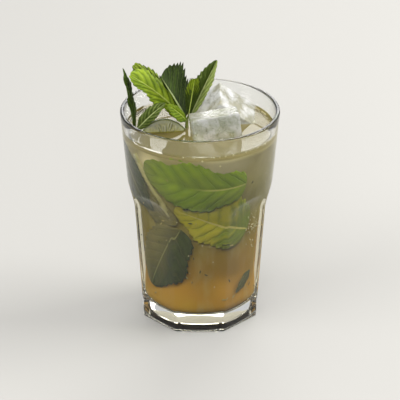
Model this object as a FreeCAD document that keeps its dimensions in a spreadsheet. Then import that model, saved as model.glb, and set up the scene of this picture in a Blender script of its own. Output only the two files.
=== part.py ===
"""A mojito in a heavy faceted tumbler: the glass, the drink, two ice cubes, a lime wedge and a mint sprig.

The origin is the middle of the foot, on the surface that the glass stands on. +Z is up and -Y is the front,
where one of the eight facets faces. The garnish is arranged about the middle of the drink's surface.
"""
import FreeCAD
import Part
import Sketcher
import math
import os

Vector = FreeCAD.Vector

# Driving dimensions, in millimetres unless the note says otherwise.
SIZES = [
    ("height", 123.3, "glass, foot to rim"),
    ("rim_radius", 44.0, "outside of the rim"),
    ("shoulder_radius", 40.5, "outside of the round blank where the facets run out"),
    ("foot_radius", 35.0, "outside of the round blank at the foot"),
    ("shoulder_height", 82.0, "where the side turns from the foot's taper to the rim's"),
    ("facet_count", 8, "flat facets round the lower side"),
    ("facet_foot_apothem", 31.74, "axis to facet at the foot"),
    ("facet_lean", 3.53, "degrees that a facet leans outwards"),
    ("arch_start", 70.0, "height where a facet starts to curve out into its arch"),
    ("arch_radius", 23.4, "radius of that curve"),
    ("rim_wall", 2.3, "wall at the rim"),
    ("lip_radius", 1.05, "rounding of the rim's two edges"),
    ("inner_shoulder_height", 86.0, "where the inside turns to the rim's taper"),
    ("shoulder_wall", 2.8, "wall at the shoulder"),
    ("waist_wall", 3.0, "wall at the middle of a facet, where its arch starts"),
    ("inside_rounding", 30.0, "rounding of the inside at waist and shoulder"),
    ("base_thickness", 9.0, "floor of the glass"),
    ("foot_wall", 4.1, "wall at the middle of a facet, level with the floor"),
    ("floor_corner", 6.0, "rounding between floor and side, inside"),
    ("foot_chamfer", 0.8, "chamfer round the foot"),
    ("punt_radius", 26.0, "hollow under the foot"),
    ("punt_slope", 2.5, "width of the hollow's sloping side"),
    ("punt_depth", 1.4, "depth of the hollow"),
    ("headspace", 11.3, "rim down to the drink's surface"),
    ("fill_gap", 0.1, "between the drink and the glass"),
    ("arranged_radius", 40.5, "inside radius at the surface that the garnish is arranged for"),
    ("back_ice_width", 28.0, "back ice cube"),
    ("back_ice_depth", 17.0, "back ice cube"),
    ("back_ice_length", 25.0, "back ice cube"),
    ("front_ice_width", 27.0, "front ice cube"),
    ("front_ice_depth", 13.0, "front ice cube"),
    ("front_ice_length", 26.0, "front ice cube"),
    ("ice_rounding", 1.6, "melted edges of the ice"),
    ("lime_radius", 14.2, "lime wedge, centre to rind"),
    ("lime_back_latitude", -36.0, "degrees from the middle of the lime to the wedge's back face"),
    ("lime_front_latitude", 12.0, "degrees from the middle of the lime to the wedge's front face"),
    ("lime_angle", 130.0, "degrees of the slice that the wedge keeps"),
    ("stem_radius", 1.1, "mint stem at its cut end"),
    ("stem_top_radius", 0.8, "mint stem where the leaves leave it"),
    ("leaf_thickness", 0.5, "mint leaf"),
    ("leaf_stalk", 0.7, "half width of a leaf at its two ends"),
]

doc = FreeCAD.newDocument("mojito")


def make_sheet():
    """The spreadsheet of driving dimensions, one row each: name, value and what it is."""
    sheet = doc.addObject("Spreadsheet::Sheet", "sizes")
    for row, (name, value, note) in enumerate(SIZES, start=1):
        sheet.set(f"A{row}", name)
        sheet.set(f"B{row}", str(value))
        sheet.setAlias(f"B{row}", name)
        sheet.set(f"C{row}", note)
    doc.recompute()
    return sheet


sheet = make_sheet()

# Expressions that several pieces share.
LEVEL = "(sizes.height - sizes.headspace)"
INNER_RIM = "(sizes.rim_radius - sizes.rim_wall)"
INNER_SHOULDER = "(sizes.shoulder_radius - sizes.shoulder_wall)"
FACET_RUN = "(sizes.facet_foot_apothem + {} * tan(sizes.facet_lean * 1 deg))"
INNER_WAIST = f"({FACET_RUN.format('sizes.arch_start')} - sizes.waist_wall)"
INNER_FLOOR = f"({FACET_RUN.format('sizes.base_thickness')} - sizes.foot_wall)"
RISE = f"(({LEVEL} - sizes.inner_shoulder_height) / (sizes.height - sizes.inner_shoulder_height))"
INNER_LEVEL = f"({INNER_SHOULDER} + ({INNER_RIM} - {INNER_SHOULDER}) * {RISE})"
GARNISH_SCALE = f"({INNER_LEVEL} / sizes.arranged_radius)"


def value(expression):
    """What an expression comes to with the sheet's present values."""
    return float(sheet.evalExpression(expression))


def origin_plane(body, role):
    return next(o for o in body.Origin.OriginFeatures if o.Role == role)


def new_sketch(body, name, role):
    """A sketch on one of the body's own origin planes."""
    sketch = body.newObject("Sketcher::SketchObject", name)
    sketch.AttachmentSupport = [(origin_plane(body, role), "")]
    sketch.MapMode = "FlatFace"
    return sketch


def bind(sketch, constraint, expression):
    """Adds a constraint whose size follows an expression."""
    index = sketch.addConstraint(constraint)
    sketch.setExpression(f"Constraints[{index}]", expression)


def place_point(sketch, geometry, vertex, across, up):
    """Ties one vertex of a sketch to two expressions, measured from the sketch's origin."""
    for kind, expression in (("DistanceX", across), ("DistanceY", up)):
        bind(sketch, Sketcher.Constraint(kind, -1, 1, geometry, vertex, value(expression)), expression)


def corner_arc(before, corner, after, radius):
    """The arc that rounds a corner, as its start, middle and end."""
    to_before = (before - corner).normalize()
    to_after = (after - corner).normalize()
    half = to_before.getAngle(to_after) / 2
    inward = (to_before + to_after).normalize()
    centre = corner + inward * (radius / math.sin(half))
    reach = radius / math.tan(half)
    return corner + to_before * reach, centre - inward * radius, corner + to_after * reach


def add_outline(sketch, corners):
    """A closed outline of straight sides. A corner is (across, up) or (across, up, rounding), as expressions.

    A rounded corner keeps its sharp place as a construction point that both sides aim at.
    """
    points = [Vector(value(c[0]), value(c[1]), 0) for c in corners]
    count = len(corners)
    arcs = {}
    for i, corner in enumerate(corners):
        if len(corner) == 3:
            after = points[(i + 1) % count]
            arcs[i] = corner_arc(points[i - 1], points[i], after, value(corner[2]))
    sides = []
    for i in range(count):
        j = (i + 1) % count
        start = arcs[i][2] if i in arcs else points[i]
        end = arcs[j][0] if j in arcs else points[j]
        sides.append(sketch.addGeometry(Part.LineSegment(start, end), False))
    for i, corner in enumerate(corners):
        before, after = sides[i - 1], sides[i]
        if i not in arcs:
            sketch.addConstraint(Sketcher.Constraint("Coincident", before, 2, after, 1))
            place_point(sketch, after, 1, corner[0], corner[1])
            continue
        arc = Part.Arc(*arcs[i])
        number = sketch.addGeometry(arc, False)
        first = sketch.getPoint(number, 1).distanceToPoint(arcs[i][0]) < 1e-6
        near, far = (1, 2) if first else (2, 1)
        sketch.addConstraint(Sketcher.Constraint("Tangent", before, 2, number, near))
        sketch.addConstraint(Sketcher.Constraint("Tangent", number, far, after, 1))
        bind(sketch, Sketcher.Constraint("Radius", number, value(corner[2])), corner[2])
        sharp = sketch.addGeometry(Part.Point(points[i]), True)
        sketch.addConstraint(Sketcher.Constraint("PointOnObject", sharp, 1, before))
        sketch.addConstraint(Sketcher.Constraint("PointOnObject", sharp, 1, after))
        place_point(sketch, sharp, 1, corner[0], corner[1])


def revolve(body, sketch, name):
    """Turns a sketch round its own vertical axis, which is the glass's."""
    turned = body.newObject("PartDesign::Revolution", name)
    turned.Profile = sketch
    turned.ReferenceAxis = (sketch, ["V_Axis"])
    turned.Angle = 360
    body.Tip = turned
    doc.recompute()
    return turned


def make_glass():
    """The tumbler: a turned blank with a thick floor, then eight facets that run out in arches."""
    body = doc.addObject("PartDesign::Body", "glass_tumbler")
    body.Label = "glass_tumbler"
    profile = new_sketch(body, "blank_profile", "XZ_Plane")
    add_outline(profile, [
        ("0", "sizes.punt_depth"),
        ("sizes.punt_radius - sizes.punt_slope", "sizes.punt_depth"),
        ("sizes.punt_radius", "0"),
        ("sizes.foot_radius", "0"),
        ("sizes.shoulder_radius", "sizes.shoulder_height"),
        ("sizes.rim_radius", "sizes.height", "sizes.lip_radius"),
        (INNER_RIM, "sizes.height", "sizes.lip_radius"),
        (INNER_SHOULDER, "sizes.inner_shoulder_height", "sizes.inside_rounding"),
        (INNER_WAIST, "sizes.arch_start", "sizes.inside_rounding"),
        (INNER_FLOOR, "sizes.base_thickness", "sizes.floor_corner"),
        ("0", "sizes.base_thickness"),
    ])
    revolve(body, profile, "blank")
    blank_volume = body.Shape.Volume

    # One facet's cutter, seen from the side: up the facet, out along the arch and down outside the glass.
    # It starts with the chamfer round the foot, which follows the facet.
    clear = "sizes.foot_radius"
    cutter = new_sketch(body, "facet_profile", "XZ_Plane")
    foot = Vector(value("sizes.facet_foot_apothem - sizes.foot_chamfer"), 0, 0)
    bevel = Vector(value(FACET_RUN.format("sizes.foot_chamfer")), value("sizes.foot_chamfer"), 0)
    spring = Vector(value(FACET_RUN.format("sizes.arch_start")), value("sizes.arch_start"), 0)
    lean = math.radians(value("sizes.facet_lean"))
    radius = value("sizes.arch_radius")
    centre = spring + Vector(math.cos(lean), -math.sin(lean), 0) * radius
    crown = centre + Vector(0, radius, 0)
    below = value(clear)
    outer = Vector(crown.x, -below, 0)
    inner = Vector(foot.x, -below, 0)
    middle = centre + Vector(-math.sin(math.radians(45)), math.cos(math.radians(45)), 0) * radius
    chamfer = cutter.addGeometry(Part.LineSegment(foot, bevel), False)
    facet = cutter.addGeometry(Part.LineSegment(bevel, spring), False)
    arch = cutter.addGeometry(Part.Arc(spring, middle, crown), False)
    side = cutter.addGeometry(Part.LineSegment(crown, outer), False)
    bottom = cutter.addGeometry(Part.LineSegment(outer, inner), False)
    rise = cutter.addGeometry(Part.LineSegment(inner, foot), False)
    start_first = cutter.getPoint(arch, 1).distanceToPoint(spring) < 1e-6
    near, far = (1, 2) if start_first else (2, 1)
    cutter.addConstraint([
        Sketcher.Constraint("Coincident", chamfer, 2, facet, 1),
        Sketcher.Constraint("Tangent", facet, 2, arch, near),
        Sketcher.Constraint("Coincident", arch, far, side, 1),
        Sketcher.Constraint("Vertical", arch, 3, arch, far),
        Sketcher.Constraint("Coincident", side, 2, bottom, 1),
        Sketcher.Constraint("Coincident", bottom, 2, rise, 1),
        Sketcher.Constraint("Coincident", rise, 2, chamfer, 1),
        Sketcher.Constraint("Vertical", side),
        Sketcher.Constraint("Vertical", rise),
        Sketcher.Constraint("Horizontal", bottom),
    ])
    place_point(cutter, chamfer, 1, "sizes.facet_foot_apothem - sizes.foot_chamfer", "0")
    place_point(cutter, facet, 1, FACET_RUN.format("sizes.foot_chamfer"), "sizes.foot_chamfer")
    place_point(cutter, facet, 2, FACET_RUN.format("sizes.arch_start"), "sizes.arch_start")
    bind(cutter, Sketcher.Constraint("Radius", arch, radius), "sizes.arch_radius")
    bind(cutter, Sketcher.Constraint("DistanceY", bottom, 1, -1, 1, below), clear)

    pocket = body.newObject("PartDesign::Pocket", "facet")
    pocket.Profile = cutter
    pocket.SideType = "Symmetric"
    pocket.Type = "Length"
    pocket.setExpression("Length", "2 * sizes.rim_radius")
    body.Tip = pocket
    doc.recompute()
    one_facet = blank_volume - body.Shape.Volume

    pattern = body.newObject("PartDesign::PolarPattern", "facets")
    pattern.Originals = [pocket]
    pattern.Axis = (cutter, ["V_Axis"])
    pattern.Angle = 360
    pattern.setExpression("Occurrences", "sizes.facet_count")
    body.Tip = pattern
    doc.recompute()
    all_facets = blank_volume - body.Shape.Volume
    print(f"blank {blank_volume:.0f} mm3, one facet {one_facet:.0f}, all facets {all_facets:.0f}")
    if one_facet <= 0 or all_facets < 1.5 * one_facet:
        raise RuntimeError("the facets don't cut the glass")
    return body


def make_drink_fill():
    """The drink as if nothing stood in it: the cavity up to the surface, less the fill gap."""
    body = doc.addObject("PartDesign::Body", "drink_fill")
    profile = new_sketch(body, "drink_profile", "XZ_Plane")
    add_outline(profile, [
        ("0", "sizes.base_thickness + sizes.fill_gap"),
        (f"{INNER_FLOOR} - sizes.fill_gap", "sizes.base_thickness + sizes.fill_gap",
         "sizes.floor_corner - sizes.fill_gap"),
        (f"{INNER_WAIST} - sizes.fill_gap", "sizes.arch_start", "sizes.inside_rounding"),
        (f"{INNER_SHOULDER} - sizes.fill_gap", "sizes.inner_shoulder_height", "sizes.inside_rounding"),
        (f"{INNER_LEVEL} - sizes.fill_gap", LEVEL),
        ("0", LEVEL),
    ])
    revolve(body, profile, "drink_blank")
    return body


def garnish_point(x, y, z):
    """A point of the garnish, given from the middle of the drink's surface."""
    return Vector(x, y, z) * value(GARNISH_SCALE) + Vector(0, 0, value(LEVEL))


def make_ice(name, middle, along, lengthwise):
    """A cube with melted edges, placed by its middle and by the ways that its width and its length run."""
    box = doc.addObject("Part::Box", f"{name}_block")
    for side, size in (("Length", "width"), ("Width", "depth"), ("Height", "length")):
        box.setExpression(side, f"sizes.{name.split('_')[1]}_ice_{size} * {GARNISH_SCALE}")
    x_axis = Vector(*along).normalize()
    z_axis = Vector(*lengthwise)
    z_axis = (z_axis - x_axis * z_axis.dot(x_axis)).normalize()
    turn = FreeCAD.Rotation(x_axis, z_axis.cross(x_axis), z_axis, "XZY")
    doc.recompute()
    to_middle = Vector(box.Length.Value, box.Width.Value, box.Height.Value) / 2
    box.Placement = FreeCAD.Placement(garnish_point(*middle) - turn.multVec(to_middle), turn)
    ice = doc.addObject("Part::Fillet", name)
    ice.Label = name
    ice.Base = box
    rounding = value(f"sizes.ice_rounding * {GARNISH_SCALE}")
    ice.Edges = [(edge, rounding, rounding) for edge in range(1, 13)]
    return ice


def make_lime():
    """A wedge of a thick slice from near a lime's end: rind up, its larger face to the front."""
    lime = doc.addObject("Part::Sphere", "lime_wedge")
    lime.Label = "lime_wedge"
    lime.setExpression("Radius", f"sizes.lime_radius * {GARNISH_SCALE}")
    lime.setExpression("Angle1", "sizes.lime_back_latitude")
    lime.setExpression("Angle2", "sizes.lime_front_latitude")
    lime.setExpression("Angle3", "sizes.lime_angle")
    facing = Vector(0.10, -0.90, 0.42)
    upright = Vector(-0.18, 0.42, 0.90)
    turn = FreeCAD.Rotation(upright.cross(facing), upright, facing, "ZYX")
    rind_up = FreeCAD.Rotation(Vector(0, 0, 1), (180 - value("sizes.lime_angle")) / 2)
    lime.Placement = FreeCAD.Placement(garnish_point(-19.6, -5.8, -7.6), turn * rind_up)
    return lime


STEM_FOOT = (-7.3, 3.6, -30.0)
STEM_TOP = (-7.1, -0.6, 5.8)


def make_stem():
    """The sprig's bare stalk, standing in the drink behind the lime wedge."""
    stem = doc.addObject("Part::Cone", "mint_stem")
    stem.Label = "mint_stem"
    foot = garnish_point(*STEM_FOOT)
    top = garnish_point(*STEM_TOP)
    stem.setExpression("Radius1", f"sizes.stem_radius * {GARNISH_SCALE}")
    stem.setExpression("Radius2", f"sizes.stem_top_radius * {GARNISH_SCALE}")
    stem.Height = (top - foot).Length
    stem.Placement = FreeCAD.Placement(foot, FreeCAD.Rotation(Vector(0, 0, 1), top - foot))
    return stem


# The leaves, from the middle of the drink's surface: stalk end, tip, and how far the two halves of the
# blade reach from the midrib at their widest, right half first. The last number is the midrib's arch.
LEAVES = {
    "mint_leaf_1": ((-36.3, 0.0, -1.0), (-42.0, -2.0, 36.2), (2.7, 6.9, -1.4), (-0.4, -5.1, 4.4), 0.0),
    "mint_leaf_2": ((-9.4, 2.6, 6.6), (-36.0, 6.0, 34.9), (0.0, 3.0, 6.6), (-7.1, -3.0, 0.3), 2.0),
    "mint_leaf_3": ((-9.2, -0.2, 5.0), (-37.9, -4.0, 32.9), (0.0, 7.8, 7.8), (-6.0, -5.6, 0.6), 3.0),
    "mint_leaf_4": ((-7.9, -1.6, 6.2), (-21.0, -12.0, 35.2), (6.4, 12.1, 13.7), (-5.0, 5.0, 5.0), 0.0),
    "mint_leaf_5": ((-5.6, -0.4, 6.1), (9.2, -1.0, 40.5), (3.9, -3.0, 1.6), (-6.1, -2.0, 4.1), 0.0),
    "mint_leaf_6": ((-6.2, -2.6, 8.6), (-2.7, -6.0, 31.4), (4.2, -1.6, 6.0), (-3.6, -0.6, 4.9), 1.0),
    "mint_leaf_7": ((-34.4, -0.5, -0.8), (-18.6, -13.0, 20.3), (1.8, -2.6, -2.2), (-2.1, 1.8, 4.0), 1.5),
    "mint_leaf_8": ((-7.6, -3.2, 5.6), (-17.9, -10.0, 17.9), (0.1, 1.8, 2.9), (-1.5, -4.2, -2.2), 1.0),
}
LEAF_STATIONS = (0.0, 0.1, 0.25, 0.45, 0.65, 0.83, 0.95, 1.0)
WIDEST = 0.46
DIPPING = ("mint_leaf_1", "mint_leaf_7")


def leaf_width(station):
    """Half width along the midrib, as a share of the widest: rounded at the stalk, pointed at the tip."""
    stalk_power = 0.62
    tip_power = stalk_power * (1 - WIDEST) / WIDEST
    widest = WIDEST ** stalk_power * (1 - WIDEST) ** tip_power
    return station ** stalk_power * (1 - station) ** tip_power / widest


def plate(*points):
    """A flat face through points given in order round it."""
    return Part.Face(Part.makePolygon([*points, points[0]]))


def make_leaf(name, stalk, tip, right, left, arch):
    """A mint leaf folded along its midrib, of flat plates between the stations along it."""
    scale = value(GARNISH_SCALE)
    stalk = Vector(*stalk)
    midrib = (Vector(*tip) - stalk) * scale
    right = Vector(*right) * scale
    left = Vector(*left) * scale
    upward = midrib.cross(right / right.Length - left / left.Length).normalize()
    if upward.z < 0:
        upward = -upward
    skin = upward * (value("sizes.leaf_thickness") / 2)
    narrow = value("sizes.leaf_stalk")
    spines = [midrib * s + upward * (4 * arch * scale * s * (1 - s)) for s in LEAF_STATIONS]
    faces = []
    for half in (right, left):
        reach = [half * max(leaf_width(s), narrow / half.Length) for s in LEAF_STATIONS]
        margins = [spine + out for spine, out in zip(spines, reach)]
        for spine, margin, next_spine, next_margin in zip(spines, margins, spines[1:], margins[1:]):
            for side in (skin, -skin):
                faces.append(plate(spine + side, margin + side, next_margin + side, next_spine + side))
            faces.append(plate(margin + skin, margin - skin, next_margin - skin, next_margin + skin))
        for spine, margin in ((spines[0], margins[0]), (spines[-1], margins[-1])):
            faces.append(plate(spine + skin, margin + skin, margin - skin, spine - skin))
    leaf = doc.addObject("Part::Feature", name)
    leaf.Label = name
    leaf.Shape = Part.makeSolid(Part.makeShell(faces))
    leaf.Placement = FreeCAD.Placement(garnish_point(*stalk), FreeCAD.Rotation())
    return leaf


def make_drink(fill, sunk):
    """The drink, cut round everything that stands in it."""
    garnish = doc.addObject("Part::MultiFuse", "sunk_garnish")
    garnish.Shapes = sunk
    drink = doc.addObject("Part::Cut", "drink")
    drink.Label = "drink"
    drink.Base = fill
    drink.Tool = garnish
    return drink


glass = make_glass()
fill = make_drink_fill()
back_ice = make_ice("ice_back", (12.4, 12.8, 1.6), (20.0, 8.2, -17.8), (-19.6, 7.7, -18.4))
front_ice = make_ice("ice_front", (9.0, -11.5, 0.5), (26.5, 4.0, 2.9), (-3.1, 1.8, 25.7))
lime = make_lime()
stem = make_stem()
leaves = [make_leaf(name, *shape) for name, shape in LEAVES.items()]
doc.recompute()
dipping = [leaf for leaf in leaves if leaf.Label in DIPPING]
drink = make_drink(fill, [back_ice, front_ice, lime, stem, *dipping])
doc.recompute()

failed = [o.Name for o in doc.Objects if "Invalid" in o.State or "Error" in o.State]
if failed:
    raise RuntimeError(f"these objects failed: {failed}")

os.makedirs("parts", exist_ok=True)
for piece in [glass, drink, back_ice, front_ice, lime, stem, *leaves]:
    if piece.Shape.isNull() or not piece.Shape.isValid() or not piece.Shape.Solids:
        raise RuntimeError(f"{piece.Label} has no valid solid")
    piece.Shape.exportStep(f"parts/{piece.Label}.step")
    print(f"{piece.Label}: {piece.Shape.Volume / 1000:.2f} cm3, {len(piece.Shape.Solids)} solid")
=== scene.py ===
"""A mojito in a facetted tumbler, with a mint sprig, two ice cubes and a lime wedge.

Lengths are in millimetres until a mesh is made. The drink's surface has its middle at (0, 0, LEVEL).
"""
import math

import bpy
import numpy as np
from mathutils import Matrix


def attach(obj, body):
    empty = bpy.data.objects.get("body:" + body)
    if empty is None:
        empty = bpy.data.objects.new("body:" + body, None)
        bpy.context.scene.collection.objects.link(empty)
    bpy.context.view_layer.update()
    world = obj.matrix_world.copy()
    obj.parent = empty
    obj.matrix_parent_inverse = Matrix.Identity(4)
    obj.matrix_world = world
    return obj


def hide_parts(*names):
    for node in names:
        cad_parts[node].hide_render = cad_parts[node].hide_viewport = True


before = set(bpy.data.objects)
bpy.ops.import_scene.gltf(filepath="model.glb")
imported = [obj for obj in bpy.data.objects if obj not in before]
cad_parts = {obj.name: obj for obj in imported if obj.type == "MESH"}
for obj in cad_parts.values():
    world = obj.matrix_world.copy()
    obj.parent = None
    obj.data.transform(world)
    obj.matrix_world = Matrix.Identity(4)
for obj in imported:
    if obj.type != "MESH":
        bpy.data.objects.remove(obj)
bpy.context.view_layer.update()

# The glass.
HEIGHT = 123.3
FOOT_RADIUS, SHOULDER_RADIUS, RIM_RADIUS = 35.0, 40.5, 44.0
SHOULDER_HEIGHT = 82.0
FACETS = 8
FACET_APOTHEM = 31.74
FACET_LEAN = math.radians(3.53)
ARCH_START, ARCH_RADIUS = 70.0, 23.4
FOOT_CHAMFER = 0.8
INSIDE = ((0.0, 9.0), (28.195, 9.0, 6.0), (33.06, 70.0, 30.0), (37.7, 86.0, 30.0), (41.7, 123.3, 1.05))
LEVEL = 112.0

# The clear skin of the drink reaches this far into the glass, so that no air shows between them.
WETTING = 0.15


# ---------------------------------------------------------------- shapes

def unit(vector):
    vector = np.asarray(vector, float)
    return vector / np.linalg.norm(vector, axis=-1, keepdims=True)


def smooth_step(low, high, x):
    """0 below low, 1 above high, and 3t^2 - 2t^3 between."""
    t = np.clip((x - low) / (high - low), 0, 1)
    return t * t * (3 - 2 * t)


def ripple(points, seed, wavelength, waves=14):
    """A smooth random field, about -1 to 1: the mean of plane cosine waves in seeded directions, near one
    wavelength."""
    rng = np.random.default_rng(seed)
    directions = unit(rng.normal(size=(waves, 3)))
    numbers = directions * (2 * np.pi / (wavelength * rng.uniform(0.6, 1.6, (waves, 1))))
    phases = rng.uniform(0, 2 * np.pi, waves)
    return np.cos(np.asarray(points) @ numbers.T + phases).sum(-1) / math.sqrt(waves / 2) / 1.6


def rounded_profile(corners, spacing, arc_points=7):
    """A line through corners (across, up[, rounding]) with each rounded corner cut by an arc tangent to
    both runs.

    Straight runs get a point every spacing millimetres, which may be one number or one for each run.
    """
    corners = [tuple(c) + (0.0,) * (3 - len(c)) for c in corners]
    spots = np.array([c[:2] for c in corners])
    pieces = [spots[:1]]
    for i in range(1, len(corners) - 1):
        rounding = corners[i][2]
        if rounding == 0:
            pieces.append(spots[i:i + 1])
            continue
        to_before, to_after = unit(spots[i - 1] - spots[i]), unit(spots[i + 1] - spots[i])
        half = math.acos(float(to_before @ to_after)) / 2
        centre = spots[i] + unit(to_before + to_after) * (rounding / math.sin(half))
        ends = spots[i] + np.stack([to_before, to_after]) * (rounding / math.tan(half))
        first, last = unit(ends - centre)
        turn = math.acos(float(np.clip(first @ last, -1, 1)))
        t = np.linspace(0, 1, arc_points)[:, None]
        sweep = np.sin((1 - t) * turn) * first + np.sin(t * turn) * last
        pieces.append(centre + rounding * sweep / math.sin(turn))
    pieces.append(spots[-1:])
    steps = spacing if hasattr(spacing, "__len__") else [spacing] * (len(pieces) - 1)
    line = [pieces[0]]
    for before, after, step in zip(pieces, pieces[1:], steps):
        start, end = before[-1], after[0]
        count = max(int(np.linalg.norm(end - start) / step), 1)
        line.append(start + (end - start) * np.linspace(0, 1, count + 1)[1:-1, None])
        line.append(after)
    return np.concatenate(line)


def through_rings(rings):
    """The points and faces of a skin through rings of points (rings, round, 3), fanned shut at both ends."""
    count, round_count = rings.shape[:2]
    points = rings.reshape(-1, 3)
    row = np.arange(count - 1)[:, None]
    column = np.arange(round_count)[None, :]
    following = (column + 1) % round_count
    below, above = row * round_count, (row + 1) * round_count
    quads = np.stack([below + column, below + following, above + following, above + column], -1)
    quads = quads.reshape(-1, 4)
    ends = np.stack([rings[0].mean(0), rings[-1].mean(0)])
    near, far = len(points), len(points) + 1
    column, following = column[0], following[0]
    last = (count - 1) * round_count
    fans = np.concatenate([
        np.stack([np.full_like(column, near), following, column], -1),
        np.stack([last + column, last + following, np.full_like(column, far)], -1),
    ])
    return np.concatenate([points, ends]), quads, fans


def with_ends(values):
    """Values on rings (rings, round), flattened, with one more for each end's middle."""
    return np.concatenate([values.reshape(-1), [values[0].mean(), values[-1].mean()]])


def several(skins):
    """Many skins as one: their points and faces, renumbered."""
    offset, points, quads, fans = 0, [], [], []
    for p, q, f in skins:
        points.append(p)
        quads.append(q + offset)
        fans.append(f + offset)
        offset += len(p)
    return np.concatenate(points), np.concatenate(quads), np.concatenate(fans)


def add_piece(name, skin, material, replaces=(), uv=None, attributes=None, sharp=None, second=None):
    """Puts a skin, in millimetres, into a mesh object at the origin, with its faces turned outwards, and
    rides it on the object.

    second is another material and a test of the faces' middles (faces, 3) that says which faces have it.
    """
    points, quads, fans = skin
    corners = points[quads[:, [0, 1, 2, 0, 2, 3]].reshape(-1, 3)]
    triangles = np.concatenate([corners, points[fans]])
    volume = np.einsum("ij,ij->i", triangles[:, 0], np.cross(triangles[:, 1], triangles[:, 2])).sum()
    if volume < 0:
        quads, fans = quads[:, ::-1], fans[:, ::-1]
    mesh = bpy.data.meshes.new(name)
    mesh.from_pydata((points * 0.001).tolist(), [], quads.tolist() + fans.tolist())
    mesh.polygons.foreach_set("use_smooth", np.ones(len(mesh.polygons), bool))
    if sharp:
        mesh.set_sharp_from_angle(angle=math.radians(sharp))
    if uv is not None:
        corner = np.zeros(len(mesh.loops), int)
        mesh.loops.foreach_get("vertex_index", corner)
        mesh.uv_layers.new(name="UVMap").data.foreach_set("uv", uv[corner].astype(np.float32).ravel())
    for key, values in (attributes or {}).items():
        mesh.attributes.new(key, "FLOAT", "POINT").data.foreach_set("value", values.astype(np.float32))
    mesh.materials.append(material)
    if second:
        mesh.materials.append(second[0])
        middles = np.concatenate([points[quads].mean(1), points[fans].mean(1)])
        mesh.polygons.foreach_set("material_index", second[1](middles).astype(int))
    mesh.update()
    piece = bpy.data.objects.new(name, mesh)
    bpy.context.scene.collection.objects.link(piece)
    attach(piece, "root")
    if replaces:
        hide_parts(*replaces)
    return piece


# ---------------------------------------------------------------- materials

def linear(colour):
    """An sRGB hex colour as linear red, green, blue and 1."""
    parts = np.array([int(colour[i:i + 2], 16) for i in (1, 3, 5)]) / 255
    parts = np.where(parts <= 0.04045, parts / 12.92, ((parts + 0.055) / 1.055) ** 2.4)
    return (*parts.tolist(), 1.0)


def add(tree, kind, inputs=(), stops=(), **settings):
    """Adds a node: its settings, a ramp's stops, and each input by name or number, set to a value or
    joined to an output."""
    node = tree.nodes.new("ShaderNode" + kind)
    for key, setting in settings.items():
        setattr(node, key, setting)
    for i, (position, colour) in enumerate(stops):
        ramp = node.color_ramp.elements
        stop = ramp[i] if i < len(ramp) else ramp.new(position)
        stop.position, stop.color = position, linear(colour)
    for key, given in dict(inputs).items():
        if isinstance(given, bpy.types.NodeSocket):
            tree.links.new(given, node.inputs[key])
        else:
            node.inputs[key].default_value = given
    return node


# These add one node each and give back its result.

def in_object(tree):
    return add(tree, "TexCoord").outputs["Object"]


def attribute(tree, name):
    return add(tree, "Attribute", attribute_name=name).outputs["Fac"]


def maths(tree, operation, *terms, **settings):
    return add(tree, "Math", dict(enumerate(terms)), operation=operation, **settings).outputs[0]


def remap(tree, value, low, high, to_low=0.0, to_high=1.0):
    return add(tree, "MapRange", {"Value": value, "From Min": low, "From Max": high, "To Min": to_low,
                                  "To Max": to_high}).outputs[0]


def noise(tree, vector, scale, detail=2.0, roughness=0.5):
    return add(tree, "TexNoise", {"Vector": vector, "Scale": scale, "Detail": detail,
                                  "Roughness": roughness}).outputs[0]


def cells(tree, vector, scale, **settings):
    return add(tree, "TexVoronoi", {"Vector": vector, "Scale": scale}, **settings).outputs[0]


def stretch(tree, vector, scale):
    return add(tree, "Mapping", {"Vector": vector, "Scale": scale}).outputs[0]


def ramp(tree, value, stops):
    return add(tree, "ValToRGB", {0: value}, stops=stops).outputs[0]


def blend(tree, share, first, second):
    """A mix of two colours, each hex or an output."""
    first, second = (linear(c) if isinstance(c, str) else c for c in (first, second))
    return add(tree, "Mix", {0: share, 6: first, 7: second}, data_type="RGBA").outputs[2]


def bump(tree, height, strength, distance):
    return add(tree, "Bump", {"Height": height, "Strength": strength, "Distance": distance}).outputs[0]


def new_material(name):
    """An empty material and its node tree, with an output."""
    material = bpy.data.materials.new(name)
    material.use_nodes = True
    material.node_tree.nodes.clear()
    return material, material.node_tree, add(material.node_tree, "OutputMaterial")


def opaque(material, tree, output, inputs):
    """The material, finished with one principled skin."""
    skin = add(tree, "BsdfPrincipled", inputs)
    tree.links.new(skin.outputs[0], output.inputs["Surface"])
    return material


def see_through(material, tree, output, shade, inputs):
    """The material, finished with a skin that light goes straight through, tinted by shade, when it is
    only on its way to something else."""
    skin = add(tree, "BsdfPrincipled", inputs)
    path = add(tree, "LightPath")
    clear = add(tree, "BsdfTransparent", {"Color": linear(shade)})
    mixed = add(tree, "MixShader", {0: path.outputs["Is Shadow Ray"], 1: skin.outputs[0],
                                    2: clear.outputs[0]})
    tree.links.new(mixed.outputs[0], output.inputs["Surface"])
    return material


def tumbler_glass():
    """Pressed soda-lime glass, fire-polished: colourless with a breath of green, and bright edges where it
    is thick."""
    material, tree, output = new_material("pressed soda-lime glass")
    # Pressed walls are never quite flat: a slow wave, 14 mm long.
    wave = noise(tree, in_object(tree), 70.0, 1.0)
    return see_through(material, tree, output, "#FAFCFA", {
        "Base Color": linear("#FDFEFD"), "Roughness": 0.0, "IOR": 1.51, "Transmission Weight": 1.0,
        "Normal": bump(tree, wave, 0.06, 0.001),
    })


def clear_liquid(name, colour, ior):
    return see_through(*new_material(name), colour, {
        "Base Color": linear(colour), "Roughness": 0.0, "IOR": ior, "Transmission Weight": 1.0,
    })


CLOUD_STOPS = (
    (0.00, "#CFA42C"), (0.12, "#C4932A"), (0.26, "#A88426"), (0.42, "#948026"),
    (0.58, "#8F8434"), (0.74, "#9A9450"), (0.88, "#ABA36E"), (1.00, "#A79E74"),
)
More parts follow.
